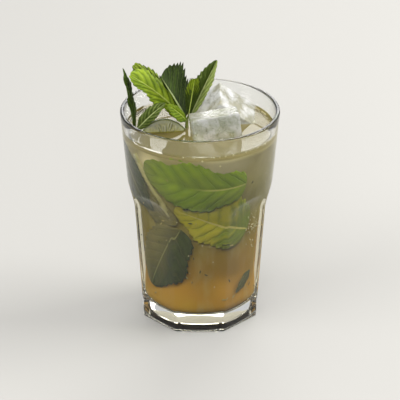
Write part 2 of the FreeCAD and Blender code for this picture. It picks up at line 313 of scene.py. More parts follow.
# Where the cloud is painted with a pale glow, in place of ice seen through it, in metres: its middle,
# its reach along each axis, how much of it shows, its colour.
PAINTED_ICE_GLOWS = (
    ((0.012, -0.036, 0.106), (0.018, 0.018, 0.008), 0.75, "#CFC9AE"),
    ((-0.0265, -0.029, 0.1045), (0.010, 0.010, 0.0065), 1.0, "#FFF3CE"),
)


def drink_cloud():
    """Muddled lime pulp, sugar and crushed mint in suspension: matt and milky, amber where the syrup
    settles."""
    material, tree, output = new_material("mojito, cloudy with lime pulp")
    place = in_object(tree)
    height = add(tree, "SeparateXYZ", {0: place}).outputs[2]
    # Clouds 30 mm across shift the height that the colour is read at by up to 9 mm.
    clouds = noise(tree, place, 32.0, 2.0, 0.45)
    shifted = maths(tree, "ADD", height, remap(tree, clouds, 0.3, 0.7, -0.009, 0.009))
    body = ramp(tree, remap(tree, shifted, 0.009, 0.112), CLOUD_STOPS)
    # Wisps of pulp, 8 mm long and stretched upwards.
    wisps = noise(tree, stretch(tree, place, (1.0, 1.0, 0.45)), 120.0, 3.0)
    mixed = blend(tree, remap(tree, wisps, 0.5, 0.75, 0.0, 0.35), body, "#C9BE8E")
    # Painted glow: the cloud is painted pale where ice would show through it, at the front cube, and at a
    # chip beside the lime that has no piece of its own.
    for middle, reach, strength, pale in PAINTED_ICE_GLOWS:
        toward = add(tree, "Mapping", {"Vector": place, "Location": middle, "Scale": reach},
                     vector_type="TEXTURE")
        far = add(tree, "VectorMath", {0: toward.outputs[0]}, operation="LENGTH").outputs["Value"]
        mixed = blend(tree, remap(tree, far, 0.35, 1.1, strength, 0.0), mixed, pale)
    # The cloud's top is darker, because less light comes back out of it than out of the lit side.
    mixed = blend(tree, remap(tree, height, 0.1098, 0.1104), mixed, "#8C8358")
    return opaque(material, tree, output, {
        "Base Color": mixed, "Roughness": 0.8, "Specular IOR Level": 0.1,
    })


def tray_ice(name, hazy, clearness):
    """Ice from a tray, wet and half melted: glassy and blurred, white where air is trapped, with cracks
    and small bubbles."""
    material, tree, output = new_material(name)
    place = in_object(tree)
    # Cracks run 16 mm apart, bent by a noise; bubbles are 2 mm apart; clouds of air are 9 mm across.
    bend = add(tree, "TexNoise", {"Vector": place, "Scale": 90.0, "Detail": 3.0}).outputs[1]
    bent = add(tree, "Mix", {0: 0.012, 4: place, 5: bend}, data_type="VECTOR").outputs[1]
    crack = remap(tree, cells(tree, bent, 62.0, feature="DISTANCE_TO_EDGE"), 0.0, 0.016, 1.0, 0.0)
    bubble = remap(tree, cells(tree, place, 420.0), 0.12, 0.2, 1.0, 0.0)
    air = noise(tree, place, 115.0, 4.0, 0.6)
    cloud = ramp(tree, air, ((0.42, hazy), (0.60, "#FFFFFF")))
    marks = maths(tree, "MULTIPLY", maths(tree, "MAXIMUM", crack, bubble), 0.4)
    relief = maths(tree, "MULTIPLY_ADD", air, 1.5, marks)
    return see_through(material, tree, output, "#F4F6F2", {
        "Base Color": blend(tree, marks, cloud, "#7E806C"), "Roughness": 0.12, "IOR": 1.31,
        "Transmission Weight": clearness, "Normal": bump(tree, relief, 0.45, 0.001),
    })


def lime_peel_and_flesh():
    """A lime wedge: waxed, pored dark green rind, a thin pale pith, and wet translucent vesicles running
    to the middle."""
    material, tree, output = new_material("lime, cut")
    depth, turn = attribute(tree, "depth"), attribute(tree, "turn")
    # Oil glands 1.2 mm apart on the rind.
    pores = cells(tree, in_object(tree), 800.0)
    rind = ramp(tree, pores, ((0.0, "#39440F"), (0.6, "#5A651A")))
    # Vesicles are 1.5 mm wide and several times longer towards the rind.
    polar = add(tree, "CombineXYZ", {0: turn, 1: depth}).outputs[0]
    vesicles = cells(tree, stretch(tree, polar, (7.0, 0.22, 1.0)), 1.0, feature="DISTANCE_TO_EDGE")
    flesh = ramp(tree, vesicles, ((0.0, "#827E2C"), (0.25, "#5F5D14")))
    pith = ramp(tree, remap(tree, depth, 0.0, 3.0),
                ((0.22, "#000000"), (0.30, "#FFFFFF"), (0.62, "#FFFFFF"), (0.80, "#000000")))
    cut = blend(tree, pith, flesh, "#7C7C40")
    inside = remap(tree, depth, 0.35, 0.7)
    relief = add(tree, "Mix", {0: inside, 2: pores, 3: vesicles}).outputs[0]
    return opaque(material, tree, output, {
        "Base Color": blend(tree, inside, rind, cut), "Roughness": 0.28,
        "Normal": bump(tree, relief, 0.4, 0.0005),
        "Subsurface Weight": 0.15, "Subsurface Radius": (0.002, 0.003, 0.001), "Subsurface Scale": 1.0,
    })


def mint_blade(name, face, deep, under, vein, rib, veil=None, thick_rib=0.09, drawn=0.45, rib_end=1.2):
    """A mint leaf: soft matt green, quilted between sunk veins, with a pale midrib, and greyer underneath.

    A sunk leaf is veiled by the cloudy drink, as much as its veil attribute says.
    """
    material, tree, output = new_material(name)
    place = in_object(tree)
    along, sideways, _ = add(tree, "SeparateXYZ", {0: add(tree, "TexCoord").outputs["UV"]}).outputs
    across = maths(tree, "ABSOLUTE", maths(tree, "SUBTRACT", sideways, 0.5))
    across = maths(tree, "MULTIPLY", across, 2.0)
    # The midrib is a line at the middle that thins towards the tip, and the side veins leave it in pairs,
    # VEINS to a leaf.
    midrib = maths(tree, "LESS_THAN", across, remap(tree, along, 0.0, 1.0, thick_rib, 0.02))
    midrib = maths(tree, "MULTIPLY", midrib, remap(tree, along, rib_end - 0.2, rib_end, 1.0, 0.0))
    lean = maths(tree, "MULTIPLY", maths(tree, "POWER", across, 1.25), -1.7)
    phase = maths(tree, "MULTIPLY_ADD", along, float(VEINS), lean)
    saw = maths(tree, "PINGPONG", phase, 0.5)
    side_vein = remap(tree, saw, 0.02, 0.09, 1.0, 0.0)
    # The net between them has meshes of about 1.5 mm.
    net = cells(tree, place, 700.0, feature="DISTANCE_TO_EDGE")
    lines = maths(tree, "MAXIMUM", side_vein, remap(tree, net, 0.0, 0.12, 0.35, 0.0))
    # The pads between the side veins are painted lightest at their tops, painted light on their bulges, and
    # a mottle of 9 mm, the leaf's own uneven tone, runs over them.
    mottle = noise(tree, place, 110.0, 3.0)
    pad = maths(tree, "MULTIPLY_ADD", saw, 1.6, -0.25)
    lit = maths(tree, "MULTIPLY_ADD", remap(tree, mottle, 0.35, 0.65), 0.6, pad, use_clamp=True)
    # Painted shade: the shaded attribute darkens each leaf towards deep, and below nought it paints light.
    lit = maths(tree, "SUBTRACT", lit, attribute(tree, "shaded"), use_clamp=True)
    full = blend(tree, attribute(tree, "under"), face, under)
    # The green runs from deep, the colour in painted shade, to the face or underside colour, in painted
    # light.
    shade = blend(tree, lit, deep, full)
    shade = blend(tree, maths(tree, "MULTIPLY", lines, drawn), shade, vein)
    shade = blend(tree, midrib, shade, rib)
    if veil:
        shade = blend(tree, attribute(tree, "veil"), shade, veil)
    relief = maths(tree, "MULTIPLY_ADD", lines, -1.0, mottle)
    return opaque(material, tree, output, {
        "Base Color": shade, "Roughness": 0.55, "Specular IOR Level": 0.2,
        "Normal": bump(tree, relief, 0.5, 0.0004),
    })


def mint_stalk():
    """A square mint stalk: juicy pale green, flushed brown where it was cut, with fine ribs along it."""
    material, tree, output = new_material("mint stalk, fresh")
    ribs = noise(tree, stretch(tree, in_object(tree), (1.0, 1.0, 0.15)), 900.0)
    return opaque(material, tree, output, {
        "Base Color": ramp(tree, ribs, ((0.35, "#5E6B27"), (0.65, "#98A055"))), "Roughness": 0.45,
        "Normal": bump(tree, ribs, 0.3, 0.0003),
    })


def soaked(name, grain, shades, roughness):
    """A bruised stalk or loose lime pulp, soaked in the drink: bleached, blotched and dulled by the cloud
    round it."""
    material, tree, output = new_material(name)
    return opaque(material, tree, output, {
        "Base Color": ramp(tree, noise(tree, in_object(tree), grain), shades), "Roughness": roughness,
        "Specular IOR Level": 0.1,
    })


# ---------------------------------------------------------------- the glass and the drink

def facet_apothem(z):
    """Axis to facet at height z: a straight lean up to ARCH_START, then a circle that bends out to its
    crown."""
    start = FACET_APOTHEM + ARCH_START * math.tan(FACET_LEAN)
    across = start + ARCH_RADIUS * math.cos(FACET_LEAN)
    up = ARCH_START - ARCH_RADIUS * math.sin(FACET_LEAN)
    rise = np.clip(z - up, 0, ARCH_RADIUS * 0.999)
    arch = across - np.sqrt(ARCH_RADIUS ** 2 - rise ** 2)
    run = FACET_APOTHEM + z * math.tan(FACET_LEAN)
    chamfered = run - np.clip(FOOT_CHAMFER - z, 0, None)
    return np.where(z < ARCH_START, chamfered, np.where(z < up + ARCH_RADIUS * 0.98, arch, 99.0))


def facetted(radius, turn, z, sharpness=200):
    """The smaller of the turned radius and the facets' distance in that direction, blended by a high power
    mean, which leaves the edges about a millimetre round."""
    centres = np.arange(FACETS) * 2 * np.pi / FACETS
    facing = np.clip(np.cos(turn[..., None] - centres), 1e-3, None)
    shares = (facing / facet_apothem(z)[..., None] * radius[..., None]) ** sharpness
    return radius * (shares.sum(-1) + 1) ** (-1 / sharpness)


def turned(profile, turn):
    """Rings about the vertical axis from a profile's (radius, height) rows, each radius given for every
    direction."""
    radius, height = profile
    return np.stack([radius * np.cos(turn), radius * np.sin(turn), height + 0 * radius], -1)


def tumbler_skin(round_count=240):
    """The glass's whole skin: one profile from under the foot, up the outside, over the lip and down
    inside to the floor, turned about the axis, with its outside cut by the facets. A ring of short grooves
    is pressed under the foot."""
    outside = ((0.0, 1.4), (23.5, 1.4), (26.0, 0.0), (27.6, 0.0), (27.9, 0.0), (29.9, 0.0), (30.2, 0.0),
               (FOOT_RADIUS, 0.0))
    side = FOOT_RADIUS + (SHOULDER_RADIUS - FOOT_RADIUS) * np.array([66.0, 78.0]) / SHOULDER_HEIGHT
    corners = (*outside, (FOOT_RADIUS + (SHOULDER_RADIUS - FOOT_RADIUS) * FOOT_CHAMFER / SHOULDER_HEIGHT,
                          FOOT_CHAMFER),
               (side[0], 66.0), (SHOULDER_RADIUS, SHOULDER_HEIGHT), (41.35, 92.0),
               (RIM_RADIUS, HEIGHT, 1.05), (41.7, HEIGHT, 1.05), INSIDE[3], INSIDE[2], INSIDE[1], INSIDE[0])
    spacing = (5, 3, 9, 9, 9, 9, 9, 9, 3, 0.4, 0.4, 4, 9, 4, 3, 4, 4)
    line = rounded_profile(corners, spacing, 9)
    foot = np.argmax(line[:, 0] == FOOT_RADIUS)
    lip = np.argmax(line[:, 1])
    turn = np.arange(round_count) * 2 * np.pi / round_count
    radius, height = line[:, :1] + 0 * turn, line[:, 1:] + 0 * turn
    cut = facetted(radius, turn + 0 * radius, height)
    radius[foot:lip] = cut[foot:lip]
    groove = (np.arange(round_count) % 4 < 2) * 0.35
    height[(line[:, 0] > 27.8) & (line[:, 0] < 30.0) & (line[:, 1] == 0)] += groove
    rings = turned((radius[1:-1], height[1:-1]), turn)
    points, quads, fans = through_rings(rings)
    points[-2:] = ((0, 0, line[0, 1]), (0, 0, line[-1, 1]))
    return points, quads, fans


def inner_radius(z):
    """The cavity's radius at height z, read from its rounded profile."""
    line = rounded_profile(INSIDE, 2.0, 9)
    return np.interp(z, line[1:, 1], line[1:, 0])


def drink_skin_shape(round_count=160):
    """The drink's skin: the cavity's profile grown by WETTING, up to the surface, which climbs the glass
    by a millimetre in a meniscus that falls off as the square of the distance from the wall."""
    (r0, z0, c0), (r1, z1, c1), (r2, z2, c2) = INSIDE[1:4]
    climb = 1.1
    edge = float(inner_radius(LEVEL + climb)) + WETTING
    wall = ((0.0, z0 - WETTING), (r0 + WETTING, z0 - WETTING, c0), (r1 + WETTING, z1, c1),
            (r2 + WETTING, z2, c2), (edge, LEVEL + climb))
    line = rounded_profile(wall, 3.0, 9)
    inward = np.linspace(0, 1, 12)[1:]
    meniscus = np.stack([edge - 3.2 * inward, LEVEL + climb * (1 - inward) ** 2], -1)
    surface = np.stack([np.linspace(edge - 3.2, 0, 12)[1:], np.full(11, LEVEL)], -1)
    line = np.concatenate([line, meniscus, surface])
    turn = np.arange(round_count) * 2 * np.pi / round_count
    rings = turned((line[1:-1, :1] + 0 * turn, line[1:-1, 1:] + 0 * turn), turn)
    points, quads, fans = through_rings(rings)
    points[-2:] = ((0, 0, line[0, 1]), (0, 0, LEVEL))
    return points, quads, fans


def clear_gap(z):
    """How far the cloud stays from the glass at height z: close at the floor and the surface, 3.6 mm in
    between."""
    return 0.8 + 2.8 * smooth_step(12, 34, z) * (1 - smooth_step(72, 111, z))


def cloud_shape(round_count=120):
    """The cloudy part of the drink: the cavity less the clear gap, with a top that billows."""
    z = np.concatenate([[9.6, 9.8, 10.4, 11.4, 13.0], np.arange(15.0, 109.0, 1.5), [109.7, 110.5, 110.9]])
    turn = np.arange(round_count) * 2 * np.pi / round_count
    radius = (inner_radius(z) - clear_gap(z))[:, None] + 0 * turn
    radius[0] -= 3.0
    radius[-2:] -= np.array([0.6, 1.8])[:, None]
    rings = turned((radius, z[:, None] + 0 * turn), turn)
    shrink = np.linspace(0.94, 0.0, 14)[1:-1, None, None]
    lid = rings[-1:] * np.array([1, 1, 0]) * shrink + np.array([0, 0, 110.9])
    base = rings[:1] * np.array([1, 1, 0]) * np.linspace(0.1, 0.9, 5)[:, None, None] + np.array([0, 0, 9.5])
    rings = np.concatenate([base, rings, lid])
    swell = ripple(rings, 11, 26.0)
    outwards = unit(rings * np.array([1, 1, 0]) + 1e-9)
    calm = smooth_step(12, 30, rings[..., 2])
    rings = rings + outwards * (0.5 * swell * calm)[..., None] * (rings[..., 2:] < 110.8)
    rings[..., 2] += 0.45 * swell * (rings[..., 2] > 110.7)
    return through_rings(rings)


# ---------------------------------------------------------------- ice and lime

def sphere_directions(rows, round_count):
    """Unit directions on rings from one pole to the other, without the poles."""
    polar = (np.arange(rows) + 0.5)[:, None] * np.pi / rows
    turn = np.arange(round_count)[None, :] * 2 * np.pi / round_count
    return np.stack([np.sin(polar) * np.cos(turn), np.sin(polar) * np.sin(turn), np.cos(polar) + 0 * turn],
                    -1)


def ice_axes(along, lengthwise):
    across = unit(along)
    up = unit(np.asarray(lengthwise) - across * (np.asarray(lengthwise) @ across))
    return np.stack([across, np.cross(up, across), up])


def ice_shape(middle, along, lengthwise, size, seed, melting=0.2, sharpness=34, rows=130, round_count=180):
    """A melted cube: in each direction the distance to the nearest of six faces, blended by a power mean
    that rounds the edges, less a rippled melt of the skin."""
    axes = ice_axes(along, lengthwise)
    directions = sphere_directions(rows, round_count)
    half = np.asarray(size) / 2
    reach = ((np.abs(directions) / half) ** sharpness).sum(-1) ** (-1 / sharpness)
    spots = directions * reach[..., None]
    melt = melting * (1 + ripple(spots, seed, 11.0))
    spots = spots - directions * np.clip(melt, 0, None)[..., None]
    return through_rings(spots @ axes + np.asarray(middle) + (0, 0, LEVEL))


LIME_RADIUS, LIME_CENTRE = 14.2, (-19.6, -5.8, -7.6)
LIME_FACING, LIME_UPRIGHT = (0.10, -0.90, 0.42), (-0.18, 0.42, 0.90)
LIME_BACK, LIME_FRONT, LIME_HALF_ANGLE = math.radians(-36), math.radians(12), math.radians(65)


def lime_shape(rows=150, round_count=200):
    """A wedge: from a point inside it, the distance to the nearest of the rind's sphere, the two cuts
    across the lime and the two cuts to its middle, blended by a power mean. Also each point's depth under
    the rind and its turn about the core."""
    front, up = unit(LIME_FACING), np.array(LIME_UPRIGHT)
    up = unit(up - front * (up @ front))
    axes = np.stack([np.cross(up, front), up, front])
    centre = np.array([0.0, 7.5, -2.6])
    directions = sphere_directions(rows, round_count)
    aside, down = math.cos(LIME_HALF_ANGLE), -math.sin(LIME_HALF_ANGLE)
    planes = ((0, 0, -1, -LIME_RADIUS * math.sin(LIME_BACK)), (0, 0, 1, LIME_RADIUS * math.sin(LIME_FRONT)),
              (aside, down, 0, 0), (-aside, down, 0, 0))
    toward = directions @ centre
    ball = -toward + np.sqrt(toward ** 2 + LIME_RADIUS ** 2 - centre @ centre)
    inverse = (1 / ball) ** 60
    for a, b, c, offset in planes:
        normal = np.array([a, b, c], float)
        inverse = inverse + np.clip(directions @ normal / (offset - centre @ normal), 0, None) ** 60
    spots = centre + directions * (inverse ** (-1 / 60))[..., None]
    depth = LIME_RADIUS - np.linalg.norm(spots, axis=-1)
    turn = np.arctan2(spots[..., 0], spots[..., 1])
    skin = through_rings(spots @ axes + np.array(LIME_CENTRE) + (0, 0, LEVEL))
    return skin, with_ends(depth), with_ends(turn)


# ---------------------------------------------------------------- mint

VEINS = 7
TEETH = 12
WIDEST = 0.46

# From the middle of the drink's surface: stalk end, tip, the reach of the right and the left half, the
# midrib's arch.
LEAVES = {
    "mint_leaf_1": ((-36.3, 0.0, -1.0), (-42.0, -2.0, 36.2), (2.7, 6.9, -1.4), (-0.4, -5.1, 4.4), 0.0),
    "mint_leaf_2": ((-9.4, 2.6, 6.6), (-36.0, 6.0, 34.9), (0.0, 3.0, 6.6), (-7.1, -3.0, 0.3), 2.0),
    "mint_leaf_3": ((-9.2, -0.2, 5.0), (-37.9, -4.0, 32.9), (0.0, 7.8, 7.8), (-6.0, -5.6, 0.6), 3.0),
    "mint_leaf_4": ((-7.9, -1.6, 6.2), (-21.0, -12.0, 35.2), (6.4, 12.1, 13.7), (-5.0, 5.0, 5.0), 0.0),
    "mint_leaf_5": ((-5.6, -0.4, 6.1), (9.2, -1.0, 40.5), (3.9, -3.0, 1.6), (-6.1, -2.0, 4.1), 0.0),
    "mint_leaf_6": ((-6.2, -2.6, 8.6), (-2.7, -6.0, 31.4), (4.2, -1.6, 6.0), (-3.6, -0.6, 4.9), 1.0),
    "mint_leaf_7": ((-34.4, -0.5, -0.8), (-18.6, -13.0, 20.3), (1.8, -2.6, -2.2), (-2.1, 1.8, 4.0), 1.5),
    "mint_leaf_8": ((-7.6, -3.2, 5.6), (-17.9, -10.0, 17.9), (0.1, 1.8, 2.9), (-1.5, -4.2, -2.2), 1.0),
}
# The blunter leaves of the sprig.
FULLNESS = {"mint_leaf_2": 0.5, "mint_leaf_3": 0.46, "mint_leaf_4": 0.5}
STALK_FOOT, STALK_TOP = (-7.3, 3.6, -30.0), (-7.1, -0.6, 5.8)


def blade_grid(rows, half_round):
    """Along (rows, 1) from stalk to tip, and across (1, round) from the right margin over the face to the
    left margin and back underneath, with 1 on the face and -1 underneath."""
    along = (1 - np.cos(np.linspace(0, 1, rows) * np.pi)) / 2
    along = (0.65 * np.linspace(0, 1, rows) + 0.35 * along)[:-1, None]
    over = np.linspace(1, -1, half_round)
    across = np.concatenate([over, -over[1:-1]])[None, :]
    side = np.concatenate([np.ones(half_round), -np.ones(half_round - 2)])[None, :]
    return along, across, side


def blade_outline(along, teeth=TEETH, bite=0.13, fullness=0.62):
    """Half width along the midrib, as a share of the widest: a power curve, rounded at the stalk and
    pointed at the tip, cut by saw teeth that point forwards. A lower fullness makes both ends blunter."""
    tip_power = fullness * (1 - WIDEST) / WIDEST
    widest = WIDEST ** fullness * (1 - WIDEST) ** tip_power
    smooth = along ** fullness * (1 - along) ** tip_power / widest
    saw = (along * teeth) % 1
    return smooth * (1 - bite * np.where(saw < 0.8, 0.75 * (1 - saw / 0.8), (saw - 0.8) / 0.2 * 0.75))


def blade_relief(along, across, seed, cup, quilt, wave):
    """Height above the flat halves, in millimetres: a bulge along each half, pads between the side veins,
    a groove at the midrib and a wave along the margin."""
    reach = np.abs(across)
    phase = along * VEINS - 1.7 * reach ** 1.25
    pads = np.abs(np.sin(np.pi * phase)) ** 0.7 * (1 - reach ** 3) * smooth_step(0.02, 0.25, reach)
    phases = np.random.default_rng(seed).uniform(0, 2 * np.pi, 2)
    ruffle = np.sin(2 * np.pi * 2.6 * along + phases[0] + (across > 0) * phases[1]) * reach ** 3
    ends = np.sin(np.pi * np.clip(along, 0, 1)) ** 0.5
    return ends * (cup * 4 * reach * (1 - reach) + quilt * pads + wave * ruffle)


def garnish_leaf(name, seed, rows=150, half_round=44):
    """A leaf of the sprig: its midrib runs from stalk to tip with an arch, each half reaches out along its
    own vector by the outline's share, and the relief stands on it along the leaf's upward direction."""
    stalk, tip, right, left, arch = (np.asarray(x, float) for x in LEAVES[name])
    along, across, side = blade_grid(rows, half_round)
    midrib = tip - stalk
    upward = unit(np.cross(midrib, unit(right) - unit(left)))
    if upward[2] < 0:
        upward = -upward
    margin = np.stack(np.broadcast_arrays(along * 30, np.sign(across) * 40, 0 * along * across), -1)
    uneven = 1 + 0.07 * ripple(margin, seed, 9.0)
    share = blade_outline(along, bite=0.2, fullness=FULLNESS.get(name, 0.62)) * uneven
    share = np.clip(share, 0.5 / np.linalg.norm(left), 1.04)
    half = np.where((across > 0)[..., None], right, left)
    size = np.linalg.norm(right) + np.linalg.norm(left)
    relief = blade_relief(along, across, seed, 0.045 * size, 0.05 * size, 0.05 * size)
    thick = 0.26 * (1 - across ** 6) * np.sqrt(np.clip(1 - along, 0, 1))
    height = relief + 4 * arch * along * (1 - along) + side * thick
    spots = stalk + along[..., None] * midrib + (np.abs(across) * share)[..., None] * half
    spots = spots + height[..., None] * upward
    spots = spots + (0, 0, LEVEL)
    points, quads, fans = through_rings(spots)
    points[-1] = tip + (0, 0, LEVEL)
    points[-1] -= unit(midrib) * 0.3
    uv = np.stack([with_ends(along + 0 * across), with_ends((across + 1) / 2 + 0 * along)], -1)
    uv[-1, 0] = 1.0
    uv[-2:, 1] = 0.5
    under = with_ends((side < 0) + 0.0 * along)
    return (points, quads, fans), uv, under


def through_three(values, along):
    """A parabola through three values: at 0, a half and 1."""
    a, b, c = values
    return a * (1 - along) * (1 - 2 * along) + b * 4 * along * (1 - along) + c * along * (2 * along - 1)


def wall_leaf(stalk, tip, upper, lower, depths, veils, seed, sides=(0.0, 0.0), rows=110, half_round=36,
              bend=0.0, fullness=0.62):
    """A leaf sunk against the inside of the glass, laid out on the unrolled wall and wrapped onto it.

    stalk and tip are (degrees from the front, height); upper and lower are the halves' widths in
    millimetres; depths and veils are given at the stalk, the middle and the tip, the depth in millimetres
    from the glass. sides is more veil towards the upper and the lower margin. A ripple along each margin
    makes the outline uneven, and another the veil.
    """
    along, across, side = blade_grid(rows, half_round)
    stalk, tip = np.asarray(stalk, float), np.asarray(tip, float)
    mean_radius = float(inner_radius((stalk[1] + tip[1]) / 2)) - 1.5
    start = np.array([math.radians(stalk[0]) * mean_radius, stalk[1]])
    end = np.array([math.radians(tip[0]) * mean_radius, tip[1]])
    run = end - start
    sideways = unit(np.array([-run[1], run[0]]))
    if sideways[1] < 0:
        sideways = -sideways
    spread = np.stack(np.broadcast_arrays(along * 30, across * 12, 0 * along * across), -1)
    margin = np.stack(np.broadcast_arrays(along * 30, np.sign(across) * 40, 0 * along * across), -1)
    uneven = 1 + 0.11 * ripple(margin, seed, 11.0)
    share = np.maximum(blade_outline(along, fullness=fullness), 0.04)
    width = np.where(across > 0, upper, lower) * share * across * uneven
    arc = bend * 4 * along * (1 - along)
    flat = start + along[..., None] * run + (width + arc)[..., None] * sideways
    relief = blade_relief(along, across, seed, 0.3, 0.45, 0.4)
    depth = np.clip(through_three(depths, along) - relief * 0.8, 0.45, None) - side * 0.2 * (1 - across ** 6)
    radius = inner_radius(flat[..., 1]) - depth
    turn = flat[..., 0] / mean_radius
    spots = np.stack([radius * np.sin(turn), -radius * np.cos(turn), flat[..., 1]], -1)
    veil = through_three(veils, along) + np.where(across > 0, *sides) * np.abs(across) ** 0.6
    veil = veil + 0.16 * ripple(spread, seed + 50, 12.0)
    uv = np.stack([with_ends(along + 0 * across), with_ends((across + 1) / 2 + 0 * along)], -1)
    uv[-2:, 1] = 0.5
    return through_rings(spots), uv, with_ends(np.clip(veil, 0, 0.92))


def tube(path, radii, squareness=0.0, round_count=20):
    """A round or slightly square tube along a path of points, whose radius runs through radii, closed at
    both ends."""
    path = np.asarray(path, float)
    steps = np.linspace(0, len(path) - 1, 12 * (len(path) - 1) + 1)
    knots = np.arange(len(path))
    # Catmull's spline: each span leaves and arrives along the chord of its neighbours.
    slopes = np.gradient(path, axis=0)
    i = np.clip(steps.astype(int), 0, len(path) - 2)
    t = (steps - i)[:, None]
    line = ((2 * t ** 3 - 3 * t ** 2 + 1) * path[i] + (t ** 3 - 2 * t ** 2 + t) * slopes[i]
            + (3 * t ** 2 - 2 * t ** 3) * path[i + 1] + (t ** 3 - t ** 2) * slopes[i + 1])
    radius = np.interp(steps, knots, radii)
    ahead = unit(np.gradient(line, axis=0))
    aside = unit(np.cross(ahead, (0.31, 0.95, 0.05)))
    above = np.cross(ahead, aside)
    turn = np.arange(round_count) * 2 * np.pi / round_count
    swell = radius[:, None] * (1 + squareness * np.cos(4 * turn))
    around = np.cos(turn)[:, None] * aside[:, None] + np.sin(turn)[:, None] * above[:, None]
    return through_rings(line[:, None] + swell[..., None] * around)


def beads(centres, radii, rows=5, round_count=8):
    """Small spheres, each on a few rings."""
    directions = sphere_directions(rows, round_count)
    return several([through_rings(np.asarray(c) + r * directions) for c, r in zip(centres, radii)])


def flecks(turns, heights, depths, lengths, rolls):
    """Torn scraps against the wall: each a sphere squashed to a lens, three times as long as it is wide,
    laid flat on the wall and rolled by its own angle."""
    directions = sphere_directions(5, 8)
    skins = []
    for turn, height, depth, length, roll in zip(turns, heights, depths, lengths, rolls):
        outward = np.array([math.sin(turn), -math.cos(turn), 0.0])
        level, upright = np.array([math.cos(turn), math.sin(turn), 0.0]), np.array([0.0, 0.0, 1.0])
        lengthwise = math.cos(roll) * level + math.sin(roll) * upright
        axes = np.stack([lengthwise * length / 2, np.cross(lengthwise, outward) * length / 6,
                         outward * 0.12])
        centre = outward * (float(inner_radius(height)) - depth) + upright * height
        skins.append(through_rings(directions @ axes + centre))
    return several(skins)


# ---------------------------------------------------------------- the pieces

def is_wet(middles):
    """True inside the glass, below the drink's surface."""
    across = np.hypot(middles[:, 0], middles[:, 1])
    return (middles[:, 2] > 8.9) & (middles[:, 2] < LEVEL) & (across < inner_radius(middles[:, 2]) + 0.2)


def is_side(middles):
    """True on the drink's side and bottom, and not on its surface."""
    across = np.hypot(middles[:, 0], middles[:, 1])
    return (across > inner_radius(middles[:, 2]) - 0.1) | (middles[:, 2] < 20)


# Where the drink wets the glass, the glass's wet side bends light only by the ratio of the two and hardly
# mirrors, and the drink's own side only tints it straw.
wet_glass = clear_liquid("pressed soda-lime glass, wet inside", "#FCFDFC", 1.51 / 1.337)
drink_surface = clear_liquid("mojito, surface", "#FAF5E2", 1.337)
drink_side = clear_liquid("mojito, clear at the glass", "#F8F2DC", 1.0)
add_piece("tumbler", tumbler_skin(), tumbler_glass(), ["glass_tumbler"], sharp=32,
          second=(wet_glass, is_wet))
add_piece("drink_clear", drink_skin_shape(), drink_surface, ["drink"],
          second=(drink_side, is_side))
add_piece("drink_cloud", cloud_shape(), drink_cloud())

white = tray_ice("ice, white with air", "#BCBAA6", 0.4)
glassy = tray_ice("ice, glassy and half melted", "#BFC2AC", 0.68)
BACK = ((12.4, 12.8, 1.6), (20.0, 8.2, -17.8), (-19.6, 7.7, -18.4), (28.0, 17.0, 25.0))
FRONT = ((9.0, -11.5, 0.5), (26.5, 4.0, 2.9), (-3.1, 1.8, 25.7), (27.0, 13.0, 26.0))
add_piece("ice_back_cube", ice_shape(*BACK, seed=5), white, ["ice_back"])
add_piece("ice_front_cube", ice_shape(*FRONT, seed=8), glassy, ["ice_front"])

lime_skin, lime_depth, lime_turn = lime_shape()
add_piece("lime", lime_skin, lime_peel_and_flesh(), ["lime_wedge"],
          attributes={"depth": lime_depth, "turn": lime_turn})

# The bright and the heart kinds are one young green, with a lighter and a darker painted shade: the heart's
# leaves sit in the sprig's shade.
GREENS = {
    "bright": mint_blade("mint leaf, young and bright", "#8FA327", "#5E7513", "#8FA327", "#506810",
                         "#AEBB58", drawn=0.3),
    "heart": mint_blade("mint leaf, young, painted in the shade of the sprig's heart", "#8FA327", "#2E3C0A", "#8FA327",
                        "#506810", "#AEBB58", drawn=0.3),
    "deep": mint_blade("mint leaf, full grown", "#4A6214", "#1C2A06", "#4A6214", "#6C8038", "#A9B67A"),
    "pale": mint_blade("mint leaf, turned to show its grey underside", "#8A9850", "#3A4A12", "#96A262",
                       "#4A5A1E", "#B4BC80", drawn=0.3),
}
# Each leaf's kind, how much painted shade lies on its right and its left half, below nought painted light,
# and how much painted shade on its stalk end.
TONES = {
    "mint_leaf_1": ("deep", 0.2, 0.0, 0.0), "mint_leaf_2": ("heart", 0.15, 0.15, 0.0),
    "mint_leaf_3": ("bright", 0.0, 0.05, 0.0), "mint_leaf_4": ("deep", 0.35, 0.2, 0.5),
    "mint_leaf_5": ("pale", -0.5, 0.7, 0.1), "mint_leaf_6": ("heart", 0.1, 0.0, 1.0),
    "mint_leaf_7": ("pale", 0.25, 0.25, 0.0), "mint_leaf_8": ("bright", 0.0, 0.5, 0.0),
}
for number, (name, (tone, right_shade, left_shade, stalk_shade)) in enumerate(TONES.items(), start=1):
    skin, uv, under = garnish_leaf(name, 20 + number)
    near_stalk = 1 - smooth_step(0.1, 0.7, uv[:, 0])
    shaded = np.where(uv[:, 1] > 0.5, right_shade, left_shade) + stalk_shade * near_stalk
    add_piece(name.replace("mint", "sprig"), skin, GREENS[tone], [name], uv=uv,
              attributes={"under": under, "shaded": shaded})

stalk_line = np.array([STALK_FOOT, (-7.5, 2.6, -20.0), (-7.0, 1.6, -9.0), (-7.3, 0.5, 1.0),
                       STALK_TOP]) + (0, 0, LEVEL)
stalk_skin = tube(stalk_line, (1.05, 1.0, 0.95, 0.9, 0.8), squareness=0.07)
join = np.array(STALK_TOP) + (0, 0, LEVEL)
petioles = []
for name in ("mint_leaf_2", "mint_leaf_3", "mint_leaf_4", "mint_leaf_5", "mint_leaf_6", "mint_leaf_8"):
    stalk, tip = (np.asarray(x) + (0, 0, LEVEL) for x in LEAVES[name][:2])
    into = stalk + unit(tip - stalk) * 3.0
    petioles.append(tube((join - (0, 0, 0.6), (join + stalk) / 2 + (0, 0, -0.2), stalk, into),
                         (0.6, 0.55, 0.5, 0.25)))
fresh = mint_stalk()
add_piece("sprig_stalk", several([stalk_skin, *petioles]), fresh, ["mint_stem"])

